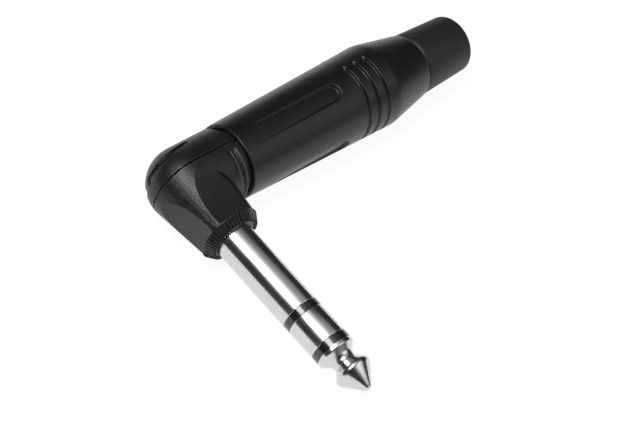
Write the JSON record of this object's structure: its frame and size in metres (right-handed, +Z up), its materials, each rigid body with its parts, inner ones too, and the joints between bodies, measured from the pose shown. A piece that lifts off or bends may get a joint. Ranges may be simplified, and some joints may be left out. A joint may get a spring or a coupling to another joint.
{
  "type": "right-angle phone connector",
  "caption": "Right-angle stereo phone plug: bright segmented finger, rounded elbow with a split cover, screw-on tapered barrel with thumb panels, inner chuck and cable boot.",
  "frame": {"origin": "centre of the finger where it leaves the elbow's collar", "axes": "+X along the barrel toward the cable, +Z up, finger along -Y and a little down, as the plug lies on a table"},
  "size_m": [0.0666, 0.0491, 0.0144],
  "materials": {
    "finger_nickel": "bright nickel plate with fine turning marks",
    "band_black": "smooth black moulding",
    "tag_tin": "tinned brass",
    "washer_board": "punched insulating board",
    "elbow_black": "fine powdery satin black",
    "liner_card": "bent insulating sheet",
    "chuck_grey": "plain moulded plastic",
    "barrel_black": "satin black with a fine grain",
    "boot_rubber": "soft matte black, a little lighter than the barrel"
  },
  "bodies": {
    "elbow": {"elbow_housing": "elbow_black", "elbow_cover": "elbow_black", "insulating_liner": "liner_card", "plug_sleeve": "finger_nickel", "ring_insulator": "band_black", "ring_contact": "finger_nickel", "tip_insulator": "band_black", "tip_contact": "finger_nickel", "sleeve_terminal": "tag_tin", "lower_washer": "washer_board", "ring_terminal": "tag_tin", "upper_washer": "washer_board", "tip_terminal": "tag_tin"},
    "chuck": {"strain_relief_chuck": "chuck_grey"},
    "barrel": {"barrel": "barrel_black", "cable_boot": "boot_rubber"}
  },
  "joints": [
    {"name": "chuck_slide", "type": "slide", "parent": "elbow", "child": "chuck", "axis": [1, 0, 0], "range_m": [0, 0.005]},
    {"name": "barrel_turn", "type": "hinge", "parent": "chuck", "child": "barrel", "pos_m": [0, 0.01163, 0.00128], "axis": [1, 0, 0], "range_deg": [0, 1800]}
  ],
  "couplings": [
    {"joint": "chuck_slide", "follows": "barrel_turn", "m_per_rad": 0.00015915}
  ]
}
